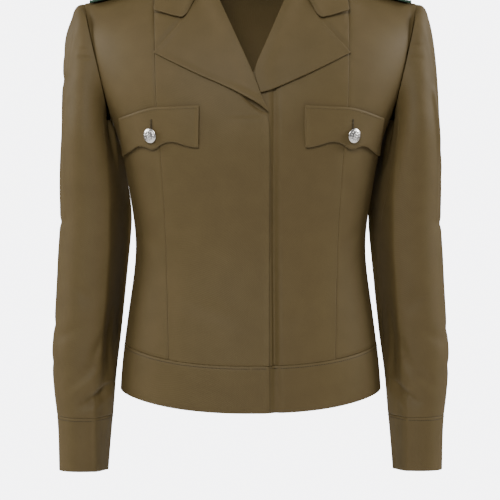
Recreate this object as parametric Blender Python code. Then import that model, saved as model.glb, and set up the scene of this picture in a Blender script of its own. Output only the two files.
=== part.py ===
"""Tailored waist-length uniform blouse, worn shape, as hollow cloth panels.

Metres, +Z up. The front of the garment faces -Y and the wearer's left is +X.
The origin is the middle of the neck, level with the side neck points.
"""

import math

import bmesh
import bpy
from mathutils import Vector

# Cloth and seams
CLOTH = 0.0017
SEAM_GAP = 0.0003
LAYER_GAP = 0.0004

# Heights of the body of the garment
ARM_LEVEL = -0.1900
BREAK_HEIGHT = -0.1790
BAND_DEPTH = 0.0585
HEM_SIDE = -0.5265
HEM_FRONT_DROP = 0.0177
HEM_BACK_DROP = 0.0060

# Shoulder line, from the side neck point to the padded tip
NECK_HALF = 0.0590
TIP_HALF = 0.2100
TIP_HEIGHT = -0.0400
SHOULDER_DIP = 0.0035

# How the body closes in from the armhole's foot up to the shoulder line
ROOF_POWER = 2.7
ROOF_EASE = 0.5

# Front closing: the right front lies over the left one
OVERLAP = 0.0205
OVERLAP_LIFT = 0.0024
OVERLAP_BLEND = 0.0450

# Body sections, from above the shoulder down to the hem
BODY = ("height", "half_width", "front", "back", "square"), (
    (0.020, 0.2250, 0.0900, 0.0780, 2.30),
    (-0.040, 0.2230, 0.1020, 0.0900, 2.35),
    (-0.080, 0.2155, 0.1110, 0.0960, 2.40),
    (-0.120, 0.2040, 0.1200, 0.1000, 2.42),
    (-0.155, 0.1910, 0.1265, 0.1015, 2.44),
    (-0.190, 0.1740, 0.1300, 0.1010, 2.46),
    (-0.225, 0.1628, 0.1290, 0.0985, 2.46),
    (-0.263, 0.1560, 0.1220, 0.0935, 2.44),
    (-0.300, 0.1500, 0.1140, 0.0870, 2.42),
    (-0.340, 0.1454, 0.1090, 0.0830, 2.40),
    (-0.380, 0.1480, 0.1090, 0.0850, 2.40),
    (-0.420, 0.1538, 0.1120, 0.0910, 2.42),
    (-0.466, 0.1600, 0.1160, 0.0980, 2.44),
    (-0.500, 0.1640, 0.1185, 0.1020, 2.44),
    (-0.560, 0.1675, 0.1200, 0.1050, 2.44),
)

# Armhole: distance from the middle on the front and on the back
ARMHOLE = ("height", "front_x", "back_x"), (
    (-0.0400, 0.2100, 0.2100),
    (-0.0560, 0.2058, 0.2055),
    (-0.0740, 0.2016, 0.2005),
    (-0.0950, 0.1966, 0.1950),
    (-0.1170, 0.1912, 0.1900),
    (-0.1380, 0.1862, 0.1856),
    (-0.1570, 0.1815, 0.1815),
    (-0.1720, 0.1778, 0.1780),
    (-0.1830, 0.1755, 0.1757),
    (-0.1880, 0.1746, 0.1747),
)

# Princess seams: distance from the middle
FRONT_PRINCESS = ("height", "x"), (
    (-0.0200, 0.1210),
    (-0.0700, 0.1195),
    (-0.1200, 0.1180),
    (-0.1700, 0.1165),
    (-0.2250, 0.1125),
    (-0.3000, 0.1075),
    (-0.3800, 0.1050),
    (-0.5000, 0.1020),
)
BACK_PRINCESS = ("height", "x"), (
    (-0.0200, 0.1150),
    (-0.0700, 0.1160),
    (-0.1200, 0.1140),
    (-0.1700, 0.1080),
    (-0.2250, 0.0990),
    (-0.3000, 0.0900),
    (-0.3800, 0.0890),
    (-0.5000, 0.0950),
)

# Roll line of each lapel, from the break up to the side neck point, on the wearer's right
ROLL = ("height", "x"), (
    (-0.1790, 0.0205),
    (-0.1560, 0.0100),
    (-0.1297, 0.0005),
    (-0.0850, -0.0195),
    (-0.0372, -0.0410),
    (-0.0120, -0.0530),
    (-0.0020, -0.0590),
)

# Lapel: its free edges, the gorge and the collar's front, as (x, height) on the wearer's right
LAPEL_LOWER = (
    (0.0190, -0.1765), (0.0080, -0.1665), (-0.0214, -0.1500), (-0.0635, -0.1315), (-0.1190, -0.1045),
)
LAPEL_OUTER = ((-0.1190, -0.1045), (-0.0826, -0.0645))
GORGE = ((-0.0826, -0.0645), (-0.0700, -0.0410), (-0.0605, -0.0235), (-0.0500, -0.0195))
COLLAR_FRONT = (
    (-0.0515, -0.0120), (-0.0605, -0.0220), (-0.0705, -0.0395), (-0.0836, -0.0632), (-0.1195, -0.0530),
)
LAPEL_STAND = 0.0024
ROLL_SPRING = 0.0030
ROLL_WIDTH = 0.0110
ROLL_CREST = 0.6
ROLL_CLEAR = 0.0008
UNDER_LAPEL_START = -0.1530

# Pocket flap, from its inner end to its outer end
FLAP = ("share", "top_x", "top_z", "low_x", "low_z"), (
    (0.00, 0.0635, -0.1678, 0.0640, -0.2184),
    (0.08, 0.0715, -0.1680, 0.0712, -0.2185),
    (0.20, 0.0835, -0.1686, 0.0835, -0.2155),
    (0.33, 0.0960, -0.1692, 0.0955, -0.2120),
    (0.46, 0.1090, -0.1696, 0.1080, -0.2143),
    (0.56, 0.1195, -0.1702, 0.1185, -0.2221),
    (0.65, 0.1285, -0.1720, 0.1270, -0.2192),
    (0.75, 0.1385, -0.1750, 0.1365, -0.2174),
    (0.88, 0.1515, -0.1794, 0.1475, -0.2247),
    (1.00, 0.1625, -0.1831, 0.1575, -0.2312),
)
FLAP_STAND = 0.0026
FLAP_SPRING = 0.0012

# Button of two thin domed shells on a shank: radius and height of its profile
BUTTON_X = 0.1219
BUTTON_HEIGHT = -0.2045
BUTTON_PROFILE = (
    (0.0000, 0.0000), (0.0020, 0.0000), (0.0022, 0.0018), (0.0070, 0.0021), (0.0088, 0.0026),
    (0.0091, 0.0032), (0.0086, 0.0038), (0.0068, 0.0049), (0.0036, 0.0058), (0.0000, 0.0060),
)
BUTTON_SIDES = 18

# Sleeve rings from the armhole's foot to the wrist, on the wearer's left
SLEEVE = ("height", "outer", "inner", "front", "back", "twist"), (
    (-0.2050, 0.2394, 0.1600, -0.0640, 0.0700, -0.17),
    (-0.2250, 0.2410, 0.1590, -0.0620, 0.0680, -0.17),
    (-0.2480, 0.2421, 0.1560, -0.0600, 0.0655, -0.17),
    (-0.2800, 0.2426, 0.1510, -0.0575, 0.0630, -0.12),
    (-0.3160, 0.2416, 0.1504, -0.0560, 0.0610, -0.06),
    (-0.3450, 0.2445, 0.1532, -0.0550, 0.0590, 0.00),
    (-0.3770, 0.2458, 0.1564, -0.0550, 0.0570, 0.07),
    (-0.4150, 0.2480, 0.1603, -0.0560, 0.0540, 0.16),
    (-0.4600, 0.2510, 0.1651, -0.0585, 0.0490, 0.28),
    (-0.4850, 0.2532, 0.1679, -0.0590, 0.0450, 0.36),
    (-0.5170, 0.2511, 0.1711, -0.0590, 0.0400, 0.45),
    (-0.5420, 0.2485, 0.1725, -0.0595, 0.0370, 0.52),
    (-0.5670, 0.2450, 0.1751, -0.0600, 0.0340, 0.56),
    (-0.6000, 0.2440, 0.1785, -0.0600, 0.0310, 0.56),
    (-0.6330, 0.2434, 0.1812, -0.0600, 0.0285, 0.56),
)
SLEEVE_SQUARE = 2.25
SLEEVE_SIDES = 24
FRONT_SEAM = 9
BACK_SEAM = 17
CUFF_TOP = -0.5580
CUFF_END = -0.6235
CUFF_ROWS = 3
CAP_ROWS = 8
LENGTH_ROWS = 14
HEAD_REACH = 0.0800
HEAD_RISE = 0.0360
HEAD_FALL = 0.1100
FOOT_REACH = 0.0060
FOOT_FALL = 0.0140
ARM_CLEAR = 0.0007
ARMHOLE_CLEAR = 0.0004
FOOT_CLEAR = 0.0012

# Soft folds of the sleeve, each a trough at a height and a turn round it
FOLDS = ("height", "turn", "depth", "tall", "wide", "slant"), (
    (-0.4520, 1.35, 0.0026, 0.0110, 0.75, -0.022),
    (-0.4950, 0.95, 0.0022, 0.0100, 0.70, 0.026),
    (-0.5300, 1.95, 0.0032, 0.0070, 0.60, 0.012),
    (-0.4700, 4.60, 0.0030, 0.0120, 0.80, 0.020),
    (-0.5150, 5.10, 0.0024, 0.0100, 0.70, -0.024),
    (-0.0960, 0.95, 0.0020, 0.0140, 0.30, 0.000),
)

# Collar: stand heights and reach, front end to centre back
NECK_DROP = 0.0180
NECK_SHARE = 0.54
STAND_FRONT = 0.0060
STAND_SIDE = 0.0240
STAND_BACK = 0.0300
STAND_CLEAR = 0.0014
COLLAR_SHOULDER = 0.1130
COLLAR_BACK_DEPTH = 0.0420
COLLAR_BACK_CURVE = 1.25
FALL_STAND = 0.0040
FALL_THIN = 0.35
FALL_ROLL = 2.4

# Shoulder strap, set a little behind the shoulder seam
STRAP_INNER = 0.1200
STRAP_OUTER = 0.2020
STRAP_INNER_HALF = 0.0165
STRAP_OUTER_HALF = 0.0185
STRAP_SHIFT = 0.0080
STRAP_THICK = 0.0022
STRAP_ROWS = 6
STRAP_COLS = 8
PLACE_TRIES = 4

# Fineness of the grids
BODY_ROWS = 21
SIDE_SPLIT = 0.62
FRONT_COLS = 10
SIDE_COLS = 7
BACK_COLS = 7
BAND_ROWS = 2
BAND_FRONT_COLS = 20
BAND_BACK_COLS = 32
EDGE_STEPS = 12
ARMHOLE_STEPS = 64
LAPEL_COLS = 10
LAPEL_ROWS = 12
LAPEL_STEPS = 16
COLLAR_FRONT_ROWS = 5
COLLAR_BACK_ROWS = 7
COLLAR_COLS = 7
FLAP_COLS = 20
FLAP_GRID_ROWS = 4
BEND_START = 3.0

# Steps of the normals, and the sharpest angle that is shaded smooth
NORMAL_STEP = 0.0015
LINE_STEP = 0.0010
TINY = 1e-6
SMOOTH_ANGLE = math.radians(40.0)

# Sides of the wearer
SIDES = ((-1, "right"), (1, "left"))

# Colours and finishes
OLIVE = (0.145, 0.102, 0.042)
STRAP_GREEN = (0.018, 0.120, 0.085)
SILVER = (0.75, 0.74, 0.72)
CLOTH_ROUGHNESS = 0.85
STRAP_ROUGHNESS = 0.7
METAL_ROUGHNESS = 0.25


def lerp(a, b, t):
    """Value between a and b."""
    return a + (b - a) * t


def smooth(t):
    """Ease from 0 to 1, held outside."""
    t = min(1.0, max(0.0, t))
    return t * t * (3.0 - 2.0 * t)


def read_table(table, key, name):
    """Smoothly interpolated column of a table, sorted by its first one."""
    names, rows = table
    column = names.index(name)
    rows = sorted(rows)
    if key <= rows[0][0]:
        return rows[0][column]
    if key >= rows[-1][0]:
        return rows[-1][column]
    i = max(k for k in range(len(rows) - 1) if rows[k][0] <= key)
    x0, x1 = rows[i][0], rows[i + 1][0]
    y0, y1 = rows[i][column], rows[i + 1][column]
    before = rows[max(i - 1, 0)]
    after = rows[min(i + 2, len(rows) - 1)]
    span = x1 - x0
    slope0 = (y1 - before[column]) / (x1 - before[0]) * span
    slope1 = (after[column] - y0) / (after[0] - x0) * span
    t = (key - x0) / span
    t2, t3 = t * t, t * t * t
    return ((2 * t3 - 3 * t2 + 1) * y0 + (t3 - 2 * t2 + t) * slope0
            + (3 * t2 - 2 * t3) * y1 + (t3 - t2) * slope1)


def section(height, name):
    """One named size of the body at a height."""
    return read_table(BODY, height, name)


def shoulder_line(x):
    """Height of the shoulder seam at a distance from the middle."""
    t = (abs(x) - NECK_HALF) / (TIP_HALF - NECK_HALF)
    dip = SHOULDER_DIP * math.sin(math.pi * min(1.0, max(0.0, t)))
    return TIP_HEIGHT * t - dip


def body_point(angle, level):
    """Point on the outside of the cloth.

    The angle runs from 0 at the centre front to pi at the centre back, and is
    negative on the wearer's right. The level is a height up to the armhole's
    foot, and above it the share of the way up to the shoulder line.
    """
    turn = abs(angle)
    front = turn <= math.pi / 2
    power = 2.0 / section(level, "square")
    x = section(level, "half_width") * max(0.0, math.sin(turn)) ** power
    depth = section(level, "front" if front else "back")
    y = depth * abs(math.cos(turn)) ** power
    z = level
    if level > ARM_LEVEL:
        share = level_share(level)
        z = lerp(ARM_LEVEL, shoulder_line(x), share)
        y *= max(0.0, 1.0 - share ** ROOF_POWER) ** ROOF_EASE
    return Vector((math.copysign(x, angle), -y if front else y, z))


def level_share(level):
    """Share of the way from the armhole's foot up to the shoulder line."""
    return (level - ARM_LEVEL) / (TIP_HEIGHT - ARM_LEVEL)


def locate(x, z, front=True):
    """Angle and level of the body point at a distance and a height."""
    level = z
    if z > ARM_LEVEL:
        share = (z - ARM_LEVEL) / (shoulder_line(x) - ARM_LEVEL)
        level = lerp(ARM_LEVEL, TIP_HEIGHT, min(1.0, share))
    power = 2.0 / section(level, "square")
    ratio = min(1.0, abs(x) / section(level, "half_width"))
    angle = math.asin(ratio ** (1.0 / power))
    if not front:
        angle = math.pi - angle
    return (math.copysign(angle, x) if x else angle), level


def outward(angle, level):
    """Unit normal of the body's outside."""
    if level > TIP_HEIGHT - TINY:
        point = body_point(angle, TIP_HEIGHT)
        slope = (shoulder_line(point.x + LINE_STEP) - shoulder_line(point.x - LINE_STEP)) / (2.0 * LINE_STEP)
        return Vector((-slope, 0.0, 1.0)).normalized()
    top = min(level + NORMAL_STEP, TIP_HEIGHT - NORMAL_STEP / 3.0)
    low = top - 2.0 * NORMAL_STEP
    across = body_point(angle + NORMAL_STEP, level) - body_point(angle - NORMAL_STEP, level)
    up = body_point(angle, top) - body_point(angle, low)
    normal = across.cross(up).normalized()
    if normal.dot(body_point(angle, low) - Vector((0.0, 0.0, low + ARM_LEVEL / 4.0))) < 0.0:
        normal.negate()
    return normal


def along(points, t):
    """Point at a share of the length of a polyline of tuples."""
    steps = [math.dist(a, b) for a, b in zip(points, points[1:])]
    left = t * sum(steps)
    for start, end, step in zip(points, points[1:], steps):
        if left <= step or end is points[-1]:
            share = min(1.0, left / step) if step else 0.0
            return tuple(lerp(a, b, share) for a, b in zip(start, end))
        left -= step
    return points[-1]


def band_seam(angle):
    """Height of the seam between the body and the waistband."""
    return hem(angle) + BAND_DEPTH


def hem(angle):
    """Height of the lower edge."""
    swing = math.cos(angle)
    drop = HEM_FRONT_DROP if swing > 0.0 else HEM_BACK_DROP
    return HEM_SIDE - drop * swing * swing


def closing_lift(x, side):
    """How far the lapping front stands out over the other one."""
    if side > 0:
        return 0.0
    return OVERLAP_LIFT * smooth((x + OVERLAP + OVERLAP_BLEND) / OVERLAP_BLEND)


def shell(name, outer, inner, colour, roughness, ring=False, metallic=0.0):
    """Closed wall between two grids of points that match."""
    mesh = bmesh.new()
    rows, cols = len(outer), len(outer[0])
    out = [[mesh.verts.new(p) for p in row] for row in outer]
    inn = [[mesh.verts.new(p) for p in row] for row in inner]
    last = cols if ring else cols - 1
    for r in range(rows - 1):
        for c in range(last):
            d = (c + 1) % cols
            mesh.faces.new((out[r][c], out[r][d], out[r + 1][d], out[r + 1][c]))
            mesh.faces.new((inn[r][c], inn[r + 1][c], inn[r + 1][d], inn[r][d]))
    for c in range(last):
        d = (c + 1) % cols
        mesh.faces.new((out[0][d], out[0][c], inn[0][c], inn[0][d]))
        mesh.faces.new((out[-1][c], out[-1][d], inn[-1][d], inn[-1][c]))
    if not ring:
        for r in range(rows - 1):
            mesh.faces.new((out[r][0], out[r + 1][0], inn[r + 1][0], inn[r][0]))
            mesh.faces.new((out[r + 1][-1], out[r][-1], inn[r][-1], inn[r + 1][-1]))
    return finish(name, mesh, colour, roughness, metallic)


def finish(name, mesh, colour, roughness, metallic=0.0):
    """Object of a mesh, with its faces outwards, shaded smooth, and a material."""
    bmesh.ops.recalc_face_normals(mesh, faces=mesh.faces)
    bmesh.ops.triangulate(mesh, faces=mesh.faces)
    data = bpy.data.meshes.new(name)
    mesh.to_mesh(data)
    mesh.free()
    data.shade_smooth()
    data.set_sharp_from_angle(angle=SMOOTH_ANGLE)
    piece = bpy.data.objects.new(name, data)
    bpy.context.scene.collection.objects.link(piece)
    material = bpy.data.materials.new(name)
    material.use_nodes = True
    surface = material.node_tree.nodes["Principled BSDF"]
    surface.inputs["Base Color"].default_value = (*colour, 1.0)
    surface.inputs["Roughness"].default_value = roughness
    surface.inputs["Metallic"].default_value = metallic
    data.materials.append(material)
    return piece


def tuck(grid, sides="lrbt"):
    """Grid with its named edges drawn in by half a seam gap."""

    def draw(edge, next_in):
        step = next_in - edge
        return edge + step.normalized() * (SEAM_GAP / 2) if step.length > TINY else edge

    grid = [list(row) for row in grid]
    rows, cols = len(grid), len(grid[0])
    for r in range(rows):
        if "l" in sides:
            grid[r][0] = draw(grid[r][0], grid[r][1])
        if "r" in sides:
            grid[r][cols - 1] = draw(grid[r][cols - 1], grid[r][cols - 2])
    for c in range(cols):
        if "b" in sides:
            grid[0][c] = draw(grid[0][c], grid[1][c])
        if "t" in sides:
            grid[rows - 1][c] = draw(grid[rows - 1][c], grid[rows - 2][c])
    return grid


def body_wall(name, places, side, lift=None):
    """Cloth wall over a grid of (angle, level) places on the body."""
    outer, inner = [], []
    for row in places:
        line, under = [], []
        for angle, level in row:
            point = body_point(angle, level)
            normal = outward(angle, level)
            rise = closing_lift(point.x, side)
            if lift:
                rise += lift[(angle, level)]
            line.append(point + normal * rise)
            under.append(point + normal * (rise - CLOTH))
        outer.append(line)
        inner.append(under)
    return shell(name, tuck(outer), tuck(inner), OLIVE, CLOTH_ROUGHNESS)


def ruled(first, second, cols):
    """Rows of places between two matched edges."""
    count = len(first) - 1
    return [[blend_place(a, b, c / cols, r / count) for c in range(cols + 1)]
            for r, (a, b) in enumerate(zip(first, second))]


def blend_place(a, b, share, up):
    """Place between two others, following the waistband's seam low down."""
    angle = lerp(a[0], b[0], share)
    bow = band_seam(angle) - lerp(band_seam(a[0]), band_seam(b[0]), share)
    return angle, lerp(a[1], b[1], share) + bow * (1.0 - smooth(up * BEND_START))


def seam_edge(table, side, front, rows):
    """Places up a seam from the waistband to the shoulder."""
    lowest = HEM_SIDE + BAND_DEPTH
    angle, _ = locate(side * read_table(table, lowest, "x"), lowest, front)
    bottom = band_seam(angle)
    points = []
    for r in range(rows + 1):
        z = lerp(bottom, 0.0, r / rows)
        x = side * read_table(table, z, "x")
        z = min(z, shoulder_line(x))
        points.append(locate(x, z, front))
    points[-1] = (points[-1][0], TIP_HEIGHT)
    return [along(points, r / rows) for r in range(rows + 1)]


def front_edge(side, rows):
    """Places up the closing edge and the roll line to the side neck point."""
    free = side * -OVERLAP
    points = [locate(free, lerp(band_seam(0.0), BREAK_HEIGHT, r / EDGE_STEPS))
              for r in range(EDGE_STEPS + 1)]
    for z, x in ROLL[1][1:-1]:
        points.append(locate(side * -x, z))
    points.append((angle_at(NECK_HALF, TIP_HEIGHT, True) * side, TIP_HEIGHT))
    return [along(points, r / rows) for r in range(rows + 1)]


def armhole_places(side, front):
    """Places up one half of the armhole, from its foot to the shoulder tip."""
    names, rows = ARMHOLE
    column = names.index("front_x" if front else "back_x")
    points = [(side * math.pi / 2, ARM_LEVEL)]
    for row in reversed(rows[:-1]):
        points.append(locate(side * row[column], row[0], front))
    points[-1] = (points[-1][0], TIP_HEIGHT)
    return points


def side_edge(side, front, rows):
    """Places up the side seam and then round the armhole."""
    low = round(rows * SIDE_SPLIT)
    turn = side * math.pi / 2
    bottom = band_seam(turn)
    seam = [(turn, lerp(bottom, ARM_LEVEL, r / low)) for r in range(low)]
    hole = armhole_places(side, front)
    return seam + [along(hole, r / (rows - low)) for r in range(rows - low + 1)]


def build_body():
    """Fronts, side fronts, side backs and the back."""
    rows = BODY_ROWS
    for side, name in SIDES:
        princess = seam_edge(FRONT_PRINCESS, side, True, rows)
        edge = front_edge(side, rows)
        body_wall(f"front_{name}", ruled(edge, princess, FRONT_COLS), side)
        body_wall(f"side_front_{name}", ruled(princess, side_edge(side, True, rows), SIDE_COLS), side)
        back_seam = seam_edge(BACK_PRINCESS, side, False, rows)
        body_wall(f"side_back_{name}", ruled(side_edge(side, False, rows), back_seam, SIDE_COLS), side)
    seam = seam_edge(BACK_PRINCESS, 1, False, rows)
    places = []
    for r, (angle, level) in enumerate(seam):
        half = [back_place(angle, level, r / rows, c / BACK_COLS) for c in range(BACK_COLS + 1)]
        other = [(-turn, height) for turn, height in half[:-1]]
        places.append(half + list(reversed(other)))
    body_wall("back", places, 1)


def back_place(angle, level, up, share):
    """Place across half the back, dropping to the neckline near the middle."""
    middle = level + band_seam(math.pi) - band_seam(angle)
    turn, height = blend_place((angle, level), (math.pi, middle), share, up)
    height = lerp(height, level, smooth(up * BEND_START))
    across = min(1.0, max(0.0, (share - NECK_SHARE) / (1.0 - NECK_SHARE)))
    neck = NECK_DROP * math.sin(math.pi / 2 * across)
    return turn, height - neck * smooth(1.0 - (1.0 - up) * BEND_START)


def build_band():
    """Waistband in three pieces."""
    for side, name in SIDES:
        start = locate(side * -OVERLAP, band_seam(0.0))[0]
        places = band_places(start, side * math.pi / 2, BAND_FRONT_COLS)
        body_wall(f"waistband_front_{name}", places, side)
    body_wall("waistband_back", band_places(math.pi / 2, 1.5 * math.pi, BAND_BACK_COLS), 1)


def band_places(start, end, cols):
    """Places over the waistband between two angles."""
    places = []
    for r in range(BAND_ROWS + 1):
        line = []
        for c in range(cols + 1):
            angle = lerp(start, end, c / cols)
            if angle > math.pi:
                angle -= 2.0 * math.pi
            line.append((angle, lerp(hem(angle), band_seam(angle) - SEAM_GAP / 2, r / BAND_ROWS)))
        places.append(line)
    return places


def offset_grid(grid, depth, ring=False):
    """Grid moved along its own normals."""
    rows, cols = len(grid), len(grid[0])
    moved = []
    for r in range(rows):
        line = []
        for c in range(cols):
            left = grid[r][(c - 1) % cols if ring else max(c - 1, 0)]
            right = grid[r][(c + 1) % cols if ring else min(c + 1, cols - 1)]
            up = grid[min(r + 1, rows - 1)][c] - grid[max(r - 1, 0)][c]
            line.append(grid[r][c] + (right - left).cross(up).normalized() * depth)
        moved.append(line)
    return moved


def sleeve_fold(height, turn):
    """Depth of the soft folds at a place on the sleeve."""
    total = 0.0
    for z, around, depth, tall, wide, slant in FOLDS[1]:
        swing = (turn - around + math.pi) % (2.0 * math.pi) - math.pi
        fall = (height - z - slant * swing) / tall
        total += depth * math.exp(-fall * fall - (swing / wide) ** 2)
    return total


def sleeve_ring(height, side):
    """Ring of points round the sleeve."""
    outer = read_table(SLEEVE, height, "outer")
    inner = max(read_table(SLEEVE, height, "inner"), section(height, "half_width") + ARM_CLEAR)
    front = read_table(SLEEVE, height, "front")
    back = read_table(SLEEVE, height, "back")
    twist = read_table(SLEEVE, height, "twist")
    power = 2.0 / SLEEVE_SQUARE
    ring = []
    for k in range(SLEEVE_SIDES):
        turn = 2.0 * math.pi * k / SLEEVE_SIDES + twist
        cos, sin = math.cos(turn), math.sin(turn)
        fold = sleeve_fold(height, turn) if height > CUFF_TOP - TINY else 0.0
        x = (outer + inner) / 2 + ((outer - inner) / 2 - fold) * math.copysign(abs(cos) ** power, cos)
        y = (front + back) / 2 + ((front - back) / 2 + fold) * math.copysign(abs(sin) ** power, sin)
        ring.append(Vector((side * x, y, height)))
    return ring


def armhole_ring(side):
    """Ring of points round the armhole, just outside the body."""
    ring = []
    half = SLEEVE_SIDES // 2
    for front in (True, False):
        path = [tuple(body_point(*place)) for place in reversed(armhole_places(side, front))]
        path = [along(path, k / ARMHOLE_STEPS) for k in range(ARMHOLE_STEPS + 1)]
        for k in range(half):
            share = k / half if front else 1.0 - k / half
            point = Vector(along(path, share))
            clear = lerp(ARMHOLE_CLEAR, FOOT_CLEAR, smooth(2.0 * share - 1.0))
            ring.append(point + Vector((side * clear, 0.0, 0.0)))
    return ring


def build_sleeves():
    """Upper and under sleeve, and the cuff, on each side."""
    for side, name in SIDES:
        first = armhole_ring(side)
        last = sleeve_ring(SLEEVE[1][0][0], side)
        grid = []
        for r in range(CAP_ROWS):
            t = r / CAP_ROWS
            t2, t3 = t * t, t * t * t
            row = []
            for k in range(SLEEVE_SIDES):
                share = (1.0 + math.cos(2.0 * math.pi * k / SLEEVE_SIDES)) / 2
                out = Vector((side * lerp(FOOT_REACH, HEAD_REACH, share), 0.0, HEAD_RISE * share))
                down = Vector((0.0, 0.0, -lerp(FOOT_FALL, HEAD_FALL, share)))
                row.append((2 * t3 - 3 * t2 + 1) * first[k] + (t3 - 2 * t2 + t) * out
                           + (3 * t2 - 2 * t3) * last[k] + (t3 - t2) * down)
            grid.append(row)
        top = SLEEVE[1][0][0]
        grid += [sleeve_ring(lerp(top, CUFF_TOP, r / LENGTH_ROWS), side)
                 for r in range(LENGTH_ROWS + 1)]
        sleeve_pieces(name, side, grid)
        cuff = [sleeve_ring(lerp(CUFF_TOP - SEAM_GAP, CUFF_END, r / CUFF_ROWS), side)
                for r in range(CUFF_ROWS + 1)]
        shell(f"cuff_{name}", cuff, offset_grid(cuff, side * -CLOTH, True), OLIVE, CLOTH_ROUGHNESS, True)


def sleeve_pieces(name, side, grid):
    """The upper and the under sleeve of one ring grid."""
    inner = offset_grid(grid, side * -CLOTH, True)
    spans = (("upper", [k % SLEEVE_SIDES for k in range(BACK_SEAM, SLEEVE_SIDES + FRONT_SEAM + 1)]),
             ("under", list(range(FRONT_SEAM, BACK_SEAM + 1))))
    for part, columns in spans:
        outside = [[row[k] for k in columns] for row in grid]
        inside = [[row[k] for k in columns] for row in inner]
        shell(f"sleeve_{part}_{name}", tuck(outside, "lr"), tuck(inside, "lr"), OLIVE, CLOTH_ROUGHNESS)


def coons(low, high, left, right, cols, rows):
    """Grid filling four edges, each a polyline of (x, height)."""
    grid = []
    for r in range(rows + 1):
        v = r / rows
        a, b = along(left, v), along(right, v)
        row = []
        for c in range(cols + 1):
            u = c / cols
            p, q = along(low, u), along(high, u)
            row.append(tuple(
                lerp(p[i], q[i], v) + lerp(a[i], b[i], u)
                - lerp(lerp(low[0][i], low[-1][i], u), lerp(high[0][i], high[-1][i], u), v)
                for i in (0, 1)))
        grid.append(row)
    return grid


def build_lapels():
    """Lapels turned back along the roll line."""
    for side, name in SIDES:
        inner = lapel_inner(side)
        lower = [inner[0]] + [p for p in LAPEL_LOWER if p[0] < inner[0][0] - ROLL_WIDTH]
        grid = coons(lower, list(reversed(GORGE)), inner, list(LAPEL_OUTER), LAPEL_COLS, LAPEL_ROWS)
        places = [[locate(side * -x, z) for x, z in row] for row in grid]
        spring = lapel_spring(grid)
        lift = {place: LAPEL_STAND + rise
                for line, rises in zip(places, spring) for place, rise in zip(line, rises)}
        body_wall(f"lapel_{name}", places, side, lift)


def lapel_inner(side):
    """Inner edge of a lapel, upwards, as drawn on the wearer's right.

    The under lapel stops short of the roll line of the one that crosses it.
    """
    start = LAPEL_LOWER[0][1] if side < 0 else UNDER_LAPEL_START
    points = []
    for r in range(LAPEL_STEPS + 1):
        z = lerp(start, GORGE[-1][1], r / LAPEL_STEPS)
        x = read_table(ROLL, z, "x")
        points.append((x if side < 0 else min(x, -x - ROLL_CLEAR), z))
    return points


def lapel_spring(grid):
    """Extra standing height of the cloth near the roll."""
    rises = []
    for row in grid:
        reach = [math.dist(p, row[0]) / ROLL_WIDTH for p in row]
        rises.append([ROLL_SPRING * math.exp(-(share - ROLL_CREST) ** 2) for share in reach])
    return rises


def collar_rows():
    """Rows of (place, place) from the neck to the free edge, front end to centre back."""
    cols = COLLAR_COLS
    rows = []
    shoulder = [lerp(NECK_HALF, COLLAR_SHOULDER, c / cols) for c in range(cols + 1)]
    start = []
    for c in range(cols + 1):
        x, z = along(COLLAR_FRONT, c / cols)
        start.append((-x, level_share(locate(x, z)[1])))
    for r in range(COLLAR_FRONT_ROWS + 1):
        t = r / COLLAR_FRONT_ROWS
        row = []
        for (near, share), far in zip(start, shoulder):
            x = lerp(near, far, t)
            level = lerp(ARM_LEVEL, TIP_HEIGHT, 1.0 - (1.0 - share) * (1.0 - t) ** 2)
            row.append((angle_at(x, level, True), level))
        rows.append(row)
    for r in range(1, COLLAR_BACK_ROWS + 1):
        t = r / COLLAR_BACK_ROWS
        row = []
        for c in range(cols + 1):
            share = c / cols
            x = lerp(NECK_HALF, COLLAR_SHOULDER, share) * (1.0 - t ** COLLAR_BACK_CURVE)
            drop = math.sin(math.pi / 2 * t) * lerp(NECK_DROP, COLLAR_BACK_DEPTH, share)
            level = TIP_HEIGHT - drop
            row.append((angle_at(x, level, False), level))
        rows.append(row)
    return rows


def angle_at(x, level, front):
    """Angle round the body of a distance from the middle at a level."""
    power = 2.0 / section(level, "square")
    angle = math.asin(min(1.0, abs(x) / section(level, "half_width")) ** (1.0 / power))
    return angle if front else math.pi - angle


def stand_height(row):
    """Height of the collar's roll above the neck seam."""
    if row <= COLLAR_FRONT_ROWS:
        return lerp(STAND_FRONT, STAND_SIDE, smooth(row / COLLAR_FRONT_ROWS))
    return lerp(STAND_SIDE, STAND_BACK, smooth((row - COLLAR_FRONT_ROWS) / COLLAR_BACK_ROWS))


def build_collar():
    """Collar fall and the stand inside it."""
    fall, stand = [], []
    for r, row in enumerate(collar_rows()):
        height = stand_height(r)
        line = []
        for c, (angle, level) in enumerate(row):
            share = c / (len(row) - 1)
            rise = FALL_STAND * (1.0 - FALL_THIN * share)
            rise += (height + LAYER_GAP) * (1.0 - share) ** FALL_ROLL
            normal = outward(angle, level).lerp(Vector((0.0, 0.0, 1.0)), 1.0 - share)
            line.append(body_point(angle, level) + normal.normalized() * rise)
        fall.append(line)
        foot = body_point(*row[0])
        head = line[0] - Vector((0.0, 0.0, CLOTH + LAYER_GAP))
        foot += Vector((0.0, 0.0, STAND_CLEAR))
        stand.append([foot.lerp(head, c / 2) for c in range(3)])
    for name, half in (("collar", fall), ("collar_stand", stand)):
        other = [[Vector((-p.x, p.y, p.z)) for p in line] for line in half[:-1]]
        grid = other + list(reversed(half))
        if name == "collar_stand":
            grid = grid[1:-1]
        under = offset_grid(grid, -CLOTH)
        shell(name, grid, under, OLIVE, CLOTH_ROUGHNESS)


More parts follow.
